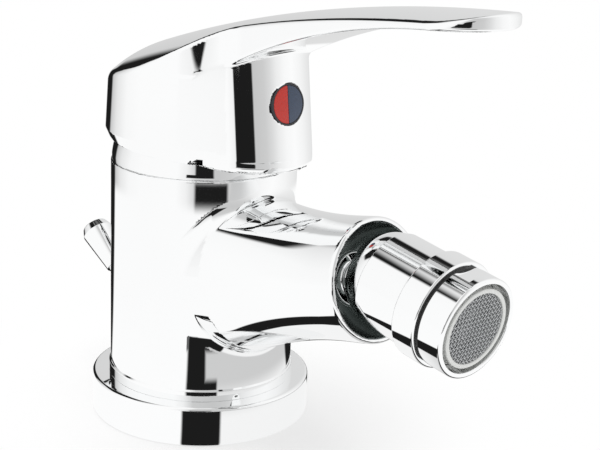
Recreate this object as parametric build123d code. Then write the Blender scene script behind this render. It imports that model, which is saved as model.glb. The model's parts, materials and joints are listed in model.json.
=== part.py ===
from build123d import *
from math import asin, cos, degrees, radians, sin, sqrt, tan
import os

# Single-lever bidet mixer. Millimetres and degrees.
# Origin: centre of the base ring's underside. +X towards the spout and lever, +Z up.

# Clearances
run_gap = 0.05
fit_gap = 0.1
slide_gap = 0.25
slot_gap = 0.2
overrun = 60.0

# Cartridge
housing_radius = 20.0
housing_wall = 3.0
housing_shoulder = 1.6
housing_neck_step = 5.0
base_thickness = 3.5
disc_gap = 0.5
fixed_disc_thickness = 3.2
moving_disc_radius = 11.5
moving_disc_thickness = 3.0
pocket_radius = 5.6
pocket_depth = 1.4
coupler_thickness = 5.2
rib_width = 2.4
rib_height = 1.2
rib_y = 8.5
rib_length = 12.0
rotor_wall = 2.5
rotor_flange_step = 3.0
rotor_flange_thickness = 1.8
rotor_above_pivot = 3.5
pivot_rise = 7.9
slot_length = 13.0
pin_radius = 1.5
pin_length = 21.0
seal_wall = 1.4
seal_depth = 1.0

# Body
nut_step = 0.8
body_wall = 3.3
body_top = 68.7
foot_step = 0.4
foot_height = 3.05
seam_chamfer = 0.35
hollow_wall = 3.7
spigot_step = 1.7
spigot_depth = 3.4

# Base ring and gasket
recess_step = 0.8
recess_depth = 3.0
gasket_inset = 1.2
gasket_width = 2.0
gasket_depth = 1.6
ring_rim = 2.4
ring_height = 10.45
ring_round = 0.9

# Waterways
floor_thickness = 2.0
waterway_radius = 4.5
waterway_reach = 26.0
port_radius = 3.2
inlet_x = 5.0
inlet_y = 9.5
outlet_x = -8.0
inlet_thread_radius = 4.5
inlet_thread_depth = 9.0
web_below = 9.5
stud_hole_x = 14.5
stud_hole_radius = 3.4
stud_hole_depth = 8.0

# Nut and dome ring
nut_shoulder = 1.8
nut_recess = 0.5
nut_neck_height = 4.3
nut_notch = 4.0
dome_inset = 0.06
dome_centre_drop = 1.4
dome_wall = 1.7
dome_reach = 5.1
dome_land = 3.8

# Ball stud
ball_radius = 9.0
neck_radius = 4.0
neck_wall = 1.3
neck_length = 3.7
flange_step = 0.6
flange_thickness = 1.5
stud_thread = 5.9
stud_length = 10.0
seal_thickness = 0.8

# Swivel
swivel_fall_deg = 9.1
seat_start_deg = 26.0
seat_end_deg = 50.0
seat_thickness = 0.9
thrust_start = 4.7
thrust_bore = 4.5
spring_bore = 7.0
spring_length = 2.1
sleeve_wall = 1.78
sleeve_back = 0.6
tail_wall = 1.45
tail_opening_deg = 57.0
thread_step = 1.9
thread_ledge = 1.2
collar_wall = 1.1
collar_length = 6.7
collar_chamfer = 0.5

# Aerator
joint_gap = 0.8
shell_step = 0.2
shell_length = 6.4
shell_wall = 1.35
shell_round = 0.55
shell_lip_back = 4.6
shell_lip_width = 1.0
flat_depth = 0.6
flat_length = 4.4
rim_gap = 1.1
nose_gap = 0.15
insert_wall = 1.1
washer_thickness = 1.4
washer_bore = 8.5
jet_thickness = 2.0
jet_hole_radius = 0.7
jet_inset = 2.6
jet_holes = 12
jet_back = 9.0
mesh_thickness = 0.6
mesh_back = 0.15
mesh_pitch = 1.4
mesh_opening = 0.95
inner_mesh_back = 3.6

# Spout
ball_reach = 69.5
ball_drop = 15.1
spout_rise_deg = 12.0
mouth_back = 5.0
mouth_room = 3.17
mouth_wall = 1.12
mouth_round = 1.1
spout_straight = 12.0
spout_root_inset = 0.7
spout_flare = 5.0
spout_fillet = 3.5

# Lever spindle
spindle_width = 7.0
spindle_above = 26.0
spindle_eye = 3.4
spindle_shank = 1.9
spindle_tip = 2.2
tip_sink = 1.1
lift_deg = 20.0

# Handle
cap_over = 1.56
cap_draft = 0.8
cap_draft_height = 20.0
cap_rear_step = 0.7
lip_height = 6.5
lip_tilt_deg = 3.85
lip_wall = 0.64
bevel_height = 3.4
rear_relief_x = 8.0
rear_relief_deg = 12.0
ridge_radius = 392.0
ridge_height = 34.9
ridge_slope_deg = 17.29
crown_radius = 45.0
crown_span_share = 1.2
barrel_radius = 16.0
barrel_step = 9.8
barrel_height = 19.4
barrel_lean_deg = 6.35
barrel_round = 4.5
barrel_bottom = 17.5
lever_half_width = 12.4
lever_end = 97.4
lever_blend = 14.0
under_start_x = 17.0
under_start_depth = 12.5
under_mid_x = 55.1
under_mid_depth = 5.2
under_end_depth = 3.8
boss_wall = 5.0
boss_bottom = 12.7

# Index button and grub screw
index_radius = 5.15
bezel_width = 0.45
index_depth = 2.0
index_sink = 0.3
index_split_gap = 0.06
screw_radius = 2.5
screw_length = 10.0
screw_socket = 1.25

# Lift rod
rod_tilt_deg = 50.0
rod_entry_height = 17.1
rod_reach = 30.5
rod_radius = 2.4
rod_end_gap = 0.4
bush_wall = 0.75
bush_outside = 1.0
bush_inside = 7.4
knob_radius = 4.45
knob_cone = 12.0
knob_foot_radius = 2.9
knob_cap = 2.3
knob_cap_radius = 3.5

# Widths that follow, from the cartridge outwards
chamber_inner = housing_radius - housing_wall
fixed_disc_radius = chamber_inner - disc_gap
housing_neck_radius = housing_radius - housing_neck_step
rotor_radius = housing_neck_radius - rotor_wall
rotor_flange_radius = rotor_radius + rotor_flange_step
chamber_radius = housing_radius + fit_gap
nut_bore = chamber_radius + nut_step
nut_radius = nut_bore - fit_gap
nut_neck_radius = nut_radius - nut_shoulder
body_radius = nut_bore + body_wall
foot_radius = body_radius + foot_step
hollow_radius = body_radius - hollow_wall
spigot_radius = body_radius - spigot_step
ring_bore = spigot_radius + fit_gap
recess_radius = ring_bore + recess_step
gasket_inner = recess_radius + gasket_inset
gasket_outer = gasket_inner + gasket_width
ring_radius = gasket_outer + ring_rim
dome_radius = body_radius - dome_inset
dome_opening = dome_radius - dome_reach

# Heights that follow, from the body's top down
pivot_z = body_top - dome_centre_drop
coupler_top = pivot_z - pivot_rise
moving_top = coupler_top - coupler_thickness
fixed_top = moving_top - moving_disc_thickness
base_top = fixed_top - fixed_disc_thickness
floor_z = base_top - base_thickness
waterway_z = floor_z - floor_thickness - waterway_radius
web_z = waterway_z - waterway_radius - web_below
rotor_bottom = coupler_top + run_gap
rotor_flange_top = rotor_bottom + rotor_flange_thickness
housing_step = rotor_flange_top + run_gap + housing_shoulder
rotor_top = pivot_z + rotor_above_pivot
half_lift_deg = lift_deg / 2
spindle_arm = pivot_rise + tip_sink
tip_travel = spindle_arm * sin(radians(half_lift_deg))

# Swivel and aerator, from the ball outwards and forwards
ball_z = body_top - ball_drop
stud_bore = neck_radius - neck_wall
flange_radius = stud_thread + flange_step
flange_depth = ball_radius + neck_length
thrust_end = ball_radius + run_gap + seat_thickness + run_gap
sleeve_bore = thrust_end + run_gap
tail_radius = sleeve_bore + tail_wall
sleeve_radius = sleeve_bore + sleeve_wall
thread_bore = sleeve_bore + thread_step
collar_radius = thread_bore + collar_wall
shell_radius = thread_bore + shell_step
shell_inner = shell_radius - shell_wall
insert_ring = shell_inner - rim_gap
insert_bore = insert_ring - insert_wall
jet_circle = insert_bore - jet_inset
collar_start = thrust_end + spring_length
thread_start = collar_start + thread_ledge
washer_front = thread_start + washer_thickness
collar_end = collar_start + collar_length
shell_back = collar_end + joint_gap
shell_front = shell_back + shell_length

# Spout
mouth_radius = sleeve_radius + mouth_room
bowl_radius = sqrt((mouth_radius - mouth_wall) ** 2 + mouth_back**2)
spout_root_radius = mouth_radius + spout_flare
spout_root_back = (ball_reach - body_radius + spout_root_inset) / cos(radians(spout_rise_deg))

# Handle and rod
cavity_radius = dome_radius + slide_gap
cap_radius = dome_radius + cap_over
cap_top_radius = cap_radius - cap_draft
cap_rear_radius = cap_radius - cap_rear_step
lip_radius = sqrt(cavity_radius**2 - lip_height**2) + lip_wall
barrel_x = cap_radius - barrel_step
boss_radius = spindle_width / sqrt(2) + boss_wall
ridge_centre_x = ridge_radius * sin(radians(ridge_slope_deg))
ridge_centre_z = pivot_z + ridge_height - ridge_radius * cos(radians(ridge_slope_deg))
handle_top = ridge_centre_z + ridge_radius
bush_radius = rod_radius + run_gap + bush_wall

spout_place = Plane(
    origin=(ball_reach, 0, ball_z),
    x_dir=(0, 1, 0),
    z_dir=(cos(radians(spout_rise_deg)), 0, sin(radians(spout_rise_deg))),
).location
swivel_place = Plane(
    origin=(ball_reach, 0, ball_z),
    x_dir=(0, 1, 0),
    z_dir=(cos(radians(swivel_fall_deg)), 0, -sin(radians(swivel_fall_deg))),
).location
rod_place = Plane(
    origin=(-body_radius, 0, rod_entry_height),
    x_dir=(0, 1, 0),
    z_dir=(-sin(radians(rod_tilt_deg)), 0, cos(radians(rod_tilt_deg))),
).location
spindle_place = Pos(0, 0, pivot_z) * Rot(0, half_lift_deg, 0)
lean = radians(barrel_lean_deg)
index_place = Plane(
    origin=(
        barrel_x + barrel_radius * cos(lean),
        0,
        pivot_z + barrel_height + barrel_radius * sin(lean),
    ),
    x_dir=(0, 1, 0),
    z_dir=(cos(lean), 0, sin(lean)),
).location


def rod(radius, bottom, top, x=0, y=0):
    """Upright solid cylinder between two heights."""
    base = (Align.CENTER, Align.CENTER, Align.MIN)
    return Pos(x, y, bottom) * Cylinder(radius, top - bottom, align=base)


def tube(outer, inner, bottom, top):
    """Upright ring between two heights."""
    return rod(outer, bottom, top) - rod(inner, bottom - overrun, top + overrun)


def block(length, width, bottom, top, x=0, y=0):
    """Upright block centred on a point."""
    base = (Align.CENTER, Align.CENTER, Align.MIN)
    return Pos(x, y, bottom) * Box(length, width, top - bottom, align=base)


def ball(radius, z=0):
    """Sphere on the upright axis."""
    return Pos(0, 0, z) * Sphere(radius)


def cone(base_radius, top_radius, bottom, top):
    """Upright cone between two heights."""
    base = (Align.CENTER, Align.CENTER, Align.MIN)
    return Pos(0, 0, bottom) * Cone(base_radius, top_radius, top - bottom, align=base)


def turned(points):
    """Solid turned about the upright axis from a closed outline of (radius, height)."""
    outline = Polyline(*[(radius, 0, height) for radius, height in points], close=True)
    return revolve(make_face(outline), Axis.Z)


def extruded_side(outline, half_width):
    """Face in the upright middle plane, made solid to both sides of it."""
    return extrude(make_face(outline), amount=half_width, dir=(0, 1, 0), both=True)


def top_rim(solid, axis=Axis.Z):
    """Outermost edges of the highest face."""
    return solid.faces().sort_by(axis)[-1].outer_wire().edges()


# Base


def make_base_ring():
    ring = rod(ring_radius, 0, ring_height)
    ring = fillet(top_rim(ring), ring_round)
    ring -= rod(ring_bore, -overrun, ring_height + overrun)
    ring -= rod(recess_radius, -overrun, recess_depth)
    return ring - tube(gasket_outer, gasket_inner, 0, gasket_depth)


def make_base_gasket():
    return tube(gasket_outer - run_gap, gasket_inner + run_gap, run_gap, gasket_depth)


# Body and waterways


def spout_solid():
    """Flared tube that narrows towards its mouth, turned about the spout's own axis."""
    run = spout_root_back - spout_straight
    growth = spout_root_radius - mouth_radius
    flare_radius = (run**2 + growth**2) / (2 * growth)
    middle_growth = flare_radius - sqrt(flare_radius**2 - (run / 2) ** 2)
    flare = ThreePointArc(
        (mouth_radius, 0, -spout_straight),
        (mouth_radius + middle_growth, 0, -spout_straight - run / 2),
        (spout_root_radius, 0, -spout_root_back),
    )
    inside = spout_root_back + body_radius - spout_fillet
    sides = Polyline(
        (spout_root_radius, 0, -spout_root_back),
        (spout_root_radius, 0, -inside),
        (0, 0, -inside),
        (0, 0, -mouth_back),
        (mouth_radius, 0, -mouth_back),
        (mouth_radius, 0, -spout_straight),
    )
    solid = revolve(make_face(flare + sides), Axis.Z)
    return spout_place * fillet(top_rim(solid), mouth_round)


def spout_joint(solid):
    """Edges where the spout leaves the body's round wall."""
    found = []
    for edge in solid.edges():
        middle = edge.position_at(1 / 2)
        off_wall = abs(sqrt(middle.X**2 + middle.Y**2) - body_radius)
        if off_wall < run_gap and edge.geom_type not in (GeomType.LINE, GeomType.CIRCLE):
            found.append(edge)
    return found


def body_outside():
    outside = rod(body_radius, ring_height, body_top) + spout_solid()
    outside = fillet(spout_joint(outside), spout_fillet)
    foot = rod(foot_radius, ring_height, ring_height + foot_height)
    outside += chamfer(top_rim(foot), foot_radius - body_radius)
    outside += rod(spigot_radius, ring_height - spigot_depth, ring_height)
    return outside


def inlet_places():
    return [(inlet_x, side * inlet_y) for side in (1, -1)]


def body_waterways():
    """Inlets up to the cartridge floor, and the outlet channel that runs out to the stud."""
    bores = []
    for x, y in inlet_places():
        bores.append(rod(port_radius, web_z, floor_z + overrun, x, y))
        bores.append(rod(inlet_thread_radius, web_z - overrun, web_z + inlet_thread_depth, x, y))
    bores.append(rod(waterway_radius, waterway_z, floor_z + overrun, outlet_x))
    level = rod(waterway_radius, 0, waterway_reach - outlet_x) + Sphere(waterway_radius)
    bores.append(Pos(outlet_x, 0, waterway_z) * Rot(0, 90, 0) * level)
    stud_end = spout_place * Pos(0, 0, -(flange_depth + flange_thickness + seal_thickness + stud_length))
    rise = stud_end.position.Z - waterway_z
    run = stud_end.position.X - waterway_reach
    slope = degrees(asin(rise / sqrt(rise * rise + run * run)))
    climb = Pos(waterway_reach, 0, waterway_z) * Rot(0, 90 - slope, 0)
    bores.append(climb * rod(waterway_radius, 0, sqrt(rise * rise + run * run)))
    bores.append(Pos(waterway_reach, 0, waterway_z) * Sphere(waterway_radius))
    return bores


def stud_seat():
    """Bowl in the spout's mouth, with the seat and bore of the ball stud behind it."""
    seat_back = flange_depth + flange_thickness + seal_thickness
    bowl = Sphere(bowl_radius)
    bowl += rod(flange_radius + run_gap, -seat_back, 0)
    bowl += rod(stud_thread + run_gap, -seat_back - stud_length, 0)
    return spout_place * bowl


def make_body():
    body = body_outside()
    chamber = rod(chamber_radius, floor_z, body_top + overrun)
    chamber += rod(nut_bore, housing_step - base_thickness, body_top + overrun)
    body -= chamber
    body -= rod(hollow_radius, -overrun, web_z)
    body -= rod(stud_hole_radius, web_z - overrun, web_z + stud_hole_depth, stud_hole_x)
    for bore in body_waterways():
        body -= bore
    body -= stud_seat()
    body -= rod_place * rod(bush_radius + run_gap, -overrun / 2, overrun / 2)
    seam_bottom = body_top - seam_chamfer
    seam = rod(body_radius, seam_bottom, body_top)
    return body - (seam - cone(body_radius, body_radius - seam_chamfer, seam_bottom, body_top))


# Cartridge


def make_cartridge_base():
    base = rod(housing_radius, floor_z, base_top)
    for x, y in inlet_places():
        base -= rod(port_radius, floor_z - overrun, base_top + overrun, x, y)
        base -= rod(port_radius + seal_wall, floor_z - overrun, floor_z + seal_depth, x, y)
    base -= rod(waterway_radius, floor_z - overrun, base_top + overrun, outlet_x)
    return base - rod(waterway_radius + seal_wall, floor_z - overrun, floor_z + seal_depth, outlet_x)


def port_seal(radius, x, y):
    outer = rod(radius + seal_wall - run_gap, floor_z, floor_z + seal_depth, x, y)
    return outer - rod(radius, floor_z - overrun, floor_z + overrun, x, y)


def make_inlet_seals():
    return Compound([port_seal(port_radius, x, y) for x, y in inlet_places()])


def make_outlet_seal():
    return port_seal(waterway_radius, outlet_x, 0)


def make_fixed_disc():
    disc = rod(fixed_disc_radius, base_top, fixed_top)
    for x, y in inlet_places():
        disc -= rod(port_radius, base_top - overrun, fixed_top + overrun, x, y)
    return disc - rod(waterway_radius, base_top - overrun, fixed_top + overrun, outlet_x)


def make_moving_disc():
    disc = rod(moving_disc_radius, fixed_top, moving_top, -tip_travel)
    pocket_x = -tip_travel - pocket_radius / 2
    return disc - rod(pocket_radius, fixed_top - overrun, fixed_top + pocket_depth, pocket_x)


def make_disc_coupler():
    coupler = rod(moving_disc_radius, moving_top, coupler_top, -tip_travel)
    for side in (1, -1):
        rib_top = coupler_top + rib_height
        coupler += block(rib_length, rib_width, coupler_top, rib_top, -tip_travel, side * rib_y)
    socket_floor = pivot_z - spindle_arm - spindle_tip - run_gap
    socket = block(
        2 * (spindle_tip + run_gap),
        spindle_width,
        socket_floor,
        coupler_top + overrun,
        -tip_travel,
    )
    return coupler - socket


def make_rotor():
    rotor = rod(rotor_radius, rotor_bottom, rotor_top)
    rotor += rod(rotor_flange_radius, rotor_bottom, rotor_flange_top)
    rotor -= block(slot_length, spindle_width + slot_gap, rotor_bottom - overrun, rotor_top + overrun)
    for side in (1, -1):
        rotor -= block(
            2 * rotor_flange_radius,
            rib_width + slot_gap,
            rotor_bottom - overrun,
            coupler_top + rib_height + 2 * run_gap,
            0,
            side * rib_y,
        )
    return rotor - pivot_bore(pin_radius, overrun)


def pivot_bore(radius, length):
    return Pos(0, 0, pivot_z) * Rot(90, 0, 0) * Cylinder(radius, length)


def make_pivot_pin():
    return pivot_bore(pin_radius, pin_length)


def make_cartridge_housing():
    housing = rod(housing_radius, base_top, housing_step)
    housing += rod(housing_neck_radius, housing_step, rotor_top)
    housing -= rod(chamber_inner, base_top - overrun, rotor_flange_top + run_gap)
    return housing - rod(rotor_radius + run_gap, base_top, rotor_top + overrun)


def make_cartridge_nut():
    nut_top = body_top - nut_recess
    nut = rod(nut_radius, housing_step, nut_top)
    nut += rod(nut_neck_radius, nut_top, nut_top + nut_neck_height)
    nut -= rod(housing_neck_radius + run_gap, housing_step - overrun, nut_top + overrun)
    for turn in (0, 90):
        notch = block(2 * nut_radius, nut_notch, nut_top + nut_neck_height / 2, nut_top + overrun)
        nut -= Rot(0, 0, turn) * notch
    return nut


def make_dome_ring():
    top = pivot_z + sqrt(dome_radius**2 - dome_opening**2)
    land_top = body_top + dome_land
    ring = ball(dome_radius, pivot_z) & rod(dome_radius, body_top, top)
    ring -= rod(nut_neck_radius + run_gap, 0, land_top)
    ring -= ball(dome_radius - dome_wall, pivot_z) & rod(dome_radius, land_top, top + overrun)
    return ring


# Lever


def make_lever_spindle():
    square = block(spindle_width, spindle_width, 0, spindle_above)
    eye = Rot(90, 0, 0) * Cylinder(spindle_eye, spindle_width)
    shank = rod(spindle_shank, -spindle_arm, 0)
    spindle = square + eye + shank + ball(spindle_tip, -spindle_arm)
    return spindle_place * (spindle - Rot(90, 0, 0) * Cylinder(pin_radius + run_gap, overrun))


def crowned(ring_of_centre, centre_x, centre_z):
    """Everything under the crowned top, swept round an axis that lies across the lever."""
    half = cap_radius * crown_span_share
    drop = crown_radius - sqrt(crown_radius**2 - half**2)
    edge = ring_of_centre - drop
    arch = ThreePointArc((-half, edge, 0), (0, ring_of_centre, 0), (half, edge, 0))
    sides = Polyline((half, edge, 0), (half, 0, 0), (-half, 0, 0), (-half, edge, 0))
    turned_solid = revolve(make_face(arch + sides), Axis.X)
    return Pos(centre_x, 0, centre_z) * Rot(0, 0, 90) * turned_solid


def under_the_top():
    """Space under the lever's crowned top: one long arc, with a smaller arc down the rear."""
    small = cap_rear_radius
    rear_x = small - cap_radius
    lean_back = asin((ridge_centre_x - rear_x) / (ridge_radius - small))
    rear_z = ridge_centre_z + (ridge_radius - small) * cos(lean_back)
    split = Pos(rear_x, 0, rear_z) * Rot(0, -degrees(lean_back), 0)
    reach = 2 * overrun
    long_arc = crowned(ridge_radius, ridge_centre_x, ridge_centre_z)
    long_arc &= split * block(reach, reach, -reach, reach, overrun)
    rear_arc = crowned(small, rear_x, rear_z) + rod(cap_radius, pivot_z - overrun, rear_z)
    rear_arc &= split * block(reach, reach, -reach, reach, -overrun)
    return long_arc + rear_arc


def cap_solid():
    lip_z = pivot_z + lip_height
    return turned(
        [
            (0, pivot_z),
            (lip_radius, pivot_z),
            (lip_radius, lip_z),
            (cap_radius, lip_z + bevel_height),
            (cap_top_radius, lip_z + cap_draft_height),
            (cap_top_radius, handle_top),
            (0, handle_top),
        ]
    )


def barrel_solid():
    """Round front of the cap, which leans back a little, with a rounded lower edge."""
    barrel = rod(barrel_radius, -barrel_bottom, handle_top - pivot_z)
    barrel = fillet(barrel.faces().sort_by(Axis.Z)[0].outer_wire().edges(), barrel_round)
    return Pos(barrel_x, 0, pivot_z + barrel_height) * Rot(0, -barrel_lean_deg, 0) * barrel


def ridge_z(x):
    """Height of the lever's ridge above the deck at a distance from the body's axis."""
    return ridge_centre_z + sqrt(ridge_radius**2 - (x - ridge_centre_x) ** 2)


def blade_solid():
    """Flat blade with a round end, between its curved underside and the crowned top."""
    tip = lever_end - lever_half_width
    plan = Pos(tip / 2, 0) * Rectangle(tip, 2 * lever_half_width) + Pos(tip, 0) * Circle(lever_half_width)
    plan += Circle(cap_top_radius)
    neck = lever_half_width + run_gap
    corners = plan.vertices().filter_by(lambda v: 0 < v.X < cap_radius and abs(v.Y) < neck)
    plan = fillet(corners, lever_blend)
    upright = Pos(0, 0, pivot_z) * extrude(plan, amount=handle_top - pivot_z)
    start_z = ridge_z(under_start_x) - under_start_depth
    end_z = ridge_z(lever_end) - under_end_depth
    under = ThreePointArc(
        (under_start_x, 0, start_z),
        (under_mid_x, 0, ridge_z(under_mid_x) - under_mid_depth),
        (lever_end, 0, end_z),
    )
    rest = Polyline(
        (lever_end, 0, end_z),
        (lever_end, 0, handle_top),
        (0, 0, handle_top),
        (0, 0, start_z),
        (under_start_x, 0, start_z),
    )
    return upright & extruded_side(under + rest, cap_radius)


def lip_cut():
    """Everything under the cap's lower edge, which is lowest at the front and relieved at the rear."""
    reach = 2 * overrun
    front = Pos(0, 0, pivot_z + lip_height) * Rot(0, lip_tilt_deg, 0) * block(reach, reach, -reach, 0)
    hinge_z = pivot_z + lip_height + rear_relief_x * tan(radians(lip_tilt_deg))
    rear_half = block(reach, reach, -reach, 0, -overrun)
    return front, Pos(-rear_relief_x, 0, hinge_z) * Rot(0, rear_relief_deg, 0) * rear_half


def make_handle():
    handle = cap_solid() + barrel_solid() + blade_solid()
    handle &= under_the_top()
    for cut in lip_cut():
        handle -= cut
    hollow = ball(cavity_radius, pivot_z) - rod(boss_radius, pivot_z + boss_bottom, pivot_z + cavity_radius)
    handle -= hollow
    socket = block(
        spindle_width + 2 * run_gap,
        spindle_width + 2 * run_gap,
        0,
        spindle_above + run_gap,
    )
    handle -= spindle_place * socket
    handle -= index_place * rod(index_radius + run_gap, -index_depth - index_sink, overrun / 2)
    return handle - index_place * rod(screw_radius + run_gap, -screw_depth(), 0)


def screw_depth():
    """Distance along the screw's axis from the button's middle to the spindle's front face."""
    tilt = radians(half_lift_deg)
    start = index_place.position
    face_x = spindle_width / 2
    along = start.X * cos(tilt) - (start.Z - pivot_z) * sin(tilt) - face_x
    return along / cos(tilt - lean)


def make_handle_screw():
    depth = screw_depth()
    screw = rod(screw_radius, -depth, -depth + screw_length)
    flats = RegularPolygon(screw_socket, 6)
    key = extrude(flats, amount=screw_length / 2)
    return index_place * (screw - Pos(0, 0, -depth + screw_length / 2) * key)


def make_index_bezel():
    floor = -index_depth - index_sink
    return index_place * tube(index_radius, index_radius - bezel_width, floor, -index_sink)


def index_half(side):
    disc = rod(index_radius - bezel_width - run_gap, -index_depth - index_sink, -index_sink)
    width = 2 * index_radius
    half = block(width, width, -overrun, overrun, side * (index_radius + index_split_gap / 2))
    return index_place * (disc & half)


def make_index_hot():
    return index_half(-1)


def make_index_cold():
    return index_half(1)


# Ball stud and swivel


def make_ball_stud():
    stud = Sphere(ball_radius) + rod(neck_radius, -flange_depth, 0)
    stud += rod(flange_radius, -flange_depth - flange_thickness, -flange_depth)
    seat_back = flange_depth + flange_thickness + seal_thickness
    stud += rod(stud_thread, -seat_back - stud_length, -flange_depth)
    return spout_place * (stud - rod(stud_bore, -overrun, overrun))


def make_stud_seal():
    back = flange_depth + flange_thickness
    return spout_place * tube(flange_radius, stud_thread + run_gap, -back - seal_thickness, -back)


def make_ball_seat():
    """Thin ring that slides on the front of the ball, cut off by two cones."""
    inner = ball_radius + run_gap
    outer = inner + seat_thickness
    ring = Sphere(outer) - Sphere(inner)
    front = overrun * tan(radians(seat_start_deg))
    back = overrun * tan(radians(seat_end_deg))
    ring &= cone(0, back, 0, overrun)
    return spout_place * (ring - cone(0, front, 0, overrun))


def make_thrust_ring():
    ring = tube(sleeve_bore - run_gap, thrust_bore, thrust_start, thrust_end)
    return swivel_place * (ring - Sphere(thrust_end))


def make_seat_spring():
    return swivel_place * tube(sleeve_bore - run_gap, spring_bore, thrust_end, thread_start)


def make_swivel_sleeve():
    sleeve = rod(sleeve_radius, -sleeve_back, collar_start)
    sleeve += Sphere(tail_radius) & rod(tail_radius, -tail_radius, 0)
    collar = rod(collar_radius, collar_start, collar_end)
    ends = collar.faces().sort_by(Axis.Z)
    collar = chamfer(ends[0].outer_wire().edges() + ends[-1].outer_wire().edges(), collar_chamfer)
    sleeve += collar
    sleeve -= Sphere(ball_radius + run_gap)
    sleeve -= rod(sleeve_bore, 0, collar_end)
    sleeve -= rod(thread_bore, thread_start, collar_end + overrun)
    opening = cone(overrun * tan(radians(tail_opening_deg)), 0, -overrun, 0)
    return swivel_place * (sleeve - opening)


# Aerator


def make_joint_washer():
    return swivel_place * tube(thread_bore, shell_inner + seal_wall / 2, collar_end, shell_back)


def make_aerator_washer():
    return swivel_place * tube(thread_bore - run_gap, washer_bore, thread_start, washer_front)


def make_aerator_shell():
    spigot = thread_bore - run_gap
    shell = rod(shell_radius, shell_back, shell_front)
    shell = fillet(top_rim(shell), shell_round)
    for side in (1, -1):
        away = side * (shell_radius - flat_depth + overrun / 2)
        shell -= block(overrun, overrun, shell_back, shell_back + flat_length, 0, away)
    shell += rod(shell_inner + seal_wall / 2, washer_front, shell_back)
    shell += rod(spigot, washer_front, collar_end)
    lip_front = shell_front - shell_lip_back + shell_lip_width
    bore = rod(shell_inner, washer_front - overrun, shell_front - shell_lip_back)
    bore += rod(shell_inner, lip_front, shell_front + overrun)
    bore += rod(insert_ring + nose_gap, washer_front, shell_front)
    return swivel_place * (shell - bore)


def make_aerator_insert():
    barrel = rod(shell_inner - run_gap, washer_front, shell_front - shell_lip_back)
    nose = rod(insert_ring, shell_front - shell_lip_back, shell_front - mesh_back)
    return swivel_place * (barrel + nose - rod(insert_bore, -overrun, overrun))


def make_jet_plate():
    back = shell_front - jet_back
    plate = rod(insert_bore, back, back + jet_thickness)
    for hole in PolarLocations(jet_circle, jet_holes):
        plate -= hole * rod(jet_hole_radius, back - overrun, back + overrun)
    return swivel_place * plate


def mesh_disc(front):
    """Square net in a round rim, with one opening at each crossing of its grid."""
    rim = insert_bore - mesh_opening
    count = 2 * int(rim / mesh_pitch) + 1
    net = Circle(insert_bore)
    openings = []
    for place in GridLocations(mesh_pitch, mesh_pitch, count, count):
        at = place.position
        if sqrt(at.X**2 + at.Y**2) < rim - mesh_opening / 2:
            openings.append(place * Rectangle(mesh_opening, mesh_opening))
    net -= openings
    return swivel_place * Pos(0, 0, front - mesh_thickness) * extrude(net, amount=mesh_thickness)


def make_outlet_mesh():
    return mesh_disc(shell_front - mesh_back)


def make_inner_mesh():
    return mesh_disc(shell_front - inner_mesh_back)


# Lift rod


def rod_depth():
    """Length of the rod inside the body, down to just above the deck recess."""
    tilt = radians(rod_tilt_deg)
    end_z = recess_depth + rod_end_gap + rod_radius * sin(tilt)
    return (rod_entry_height - end_z) / cos(tilt)


def make_lift_rod():
    return rod_place * rod(rod_radius, -rod_depth(), rod_reach)


def make_lift_knob():
    knob = turned(
        [
            (0, rod_reach - knob_cone),
            (knob_foot_radius, rod_reach - knob_cone),
            (knob_radius, rod_reach),
            (knob_cap_radius, rod_reach + knob_cap),
            (0, rod_reach + knob_cap),
        ]
    )
    return rod_place * (knob - rod(rod_radius, 0, rod_reach))


def make_rod_bush():
    return rod_place * tube(bush_radius, rod_radius + run_gap, -bush_inside, bush_outside)


pieces = {
    "base_ring": make_base_ring,
    "base_gasket": make_base_gasket,
    "body": make_body,
    "cartridge_base": make_cartridge_base,
    "inlet_seals": make_inlet_seals,
    "outlet_seal": make_outlet_seal,
    "fixed_disc": make_fixed_disc,
    "moving_disc": make_moving_disc,
    "disc_coupler": make_disc_coupler,
    "rotor": make_rotor,
    "pivot_pin": make_pivot_pin,
    "cartridge_housing": make_cartridge_housing,
    "cartridge_nut": make_cartridge_nut,
    "dome_ring": make_dome_ring,
    "lever_spindle": make_lever_spindle,
    "handle": make_handle,
    "handle_screw": make_handle_screw,
    "index_bezel": make_index_bezel,
    "index_hot": make_index_hot,
    "index_cold": make_index_cold,
    "ball_stud": make_ball_stud,
    "stud_seal": make_stud_seal,
    "ball_seat": make_ball_seat,
    "thrust_ring": make_thrust_ring,
    "seat_spring": make_seat_spring,
    "swivel_sleeve": make_swivel_sleeve,
    "joint_washer": make_joint_washer,
    "aerator_washer": make_aerator_washer,
    "aerator_shell": make_aerator_shell,
    "aerator_insert": make_aerator_insert,
    "jet_plate": make_jet_plate,
    "outlet_mesh": make_outlet_mesh,
    "inner_mesh": make_inner_mesh,
    "lift_rod": make_lift_rod,
    "lift_knob": make_lift_knob,
    "rod_bush": make_rod_bush,
}

os.makedirs("parts", exist_ok=True)
for name, make in pieces.items():
    piece = make()
    export_step(piece, f"parts/{name}.step")
    print(name, round(piece.volume, 1))
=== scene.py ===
# %% [markdown]
# # A single-lever bidet mixer in polished chrome
#
# This notebook dresses a finished CAD model of a bidet mixer. The CAD part is loaded first and never moved.
# Every chrome casting gets a smooth skin that follows the same sizes, every other piece a procedural
# material, and the studio around it is built the way a photographer builds one for chrome: white walls, a
# pale table and a few dark gaps, because chrome shows nothing but its surroundings.

import json
from math import acos, asin, atan2, cos, degrees, hypot, pi, radians, sin, sqrt, tan

import bmesh
import bpy
import numpy as np
from mathutils import Matrix, Vector

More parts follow.
